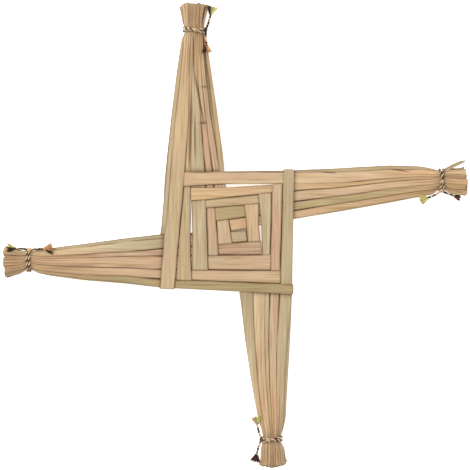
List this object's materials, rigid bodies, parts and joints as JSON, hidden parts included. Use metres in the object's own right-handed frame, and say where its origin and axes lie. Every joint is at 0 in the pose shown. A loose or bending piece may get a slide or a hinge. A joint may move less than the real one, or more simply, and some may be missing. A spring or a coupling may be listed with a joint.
{
  "type": "woven straw cross",
  "caption": "Flat four-armed cross of folded rushes woven round a square centre, each arm gathered into a bundle, bound with twisted yarn near its fanned tip.",
  "frame": {"origin": "centre of the lying cross's footprint, on the surface that it lies on", "axes": "+Z out of the cross's front face, +Y towards the upper arm, +X towards the right arm as seen from the front"},
  "size_m": [0.2992, 0.3, 0.0144],
  "materials": {
    "rush_tan": "dried flattened rush, warm tan with a fine lengthwise grain and a faint sheen",
    "rush_pink": "dried flattened rush, pinkish brown with a fine lengthwise grain",
    "rush_green": "dried flattened rush, still greyish green in places, with a fine lengthwise grain",
    "yarn": "two-ply twisted wool yarn that changes between cream, dark brown, yellow, orange and dark red"
  },
  "bodies": {
    "root": {"core_rush": "rush_green", "right_rush_1": "rush_tan", "right_rush_2": "rush_green", "right_rush_3": "rush_tan", "right_rush_4": "rush_tan", "right_rush_5": "rush_tan", "right_tie": "yarn", "lower_rush_1": "rush_tan", "lower_rush_2": "rush_green", "lower_rush_3": "rush_pink", "lower_rush_4": "rush_green", "lower_tie": "yarn", "left_rush_1": "rush_green", "left_rush_2": "rush_pink", "left_rush_3": "rush_pink", "left_rush_4": "rush_tan", "left_rush_5": "rush_green", "left_tie": "yarn", "upper_rush_1": "rush_tan", "upper_rush_2": "rush_pink", "upper_rush_3": "rush_green", "upper_rush_4": "rush_tan", "upper_rush_5": "rush_tan", "upper_tie": "yarn"}
  },
  "joints": []
}
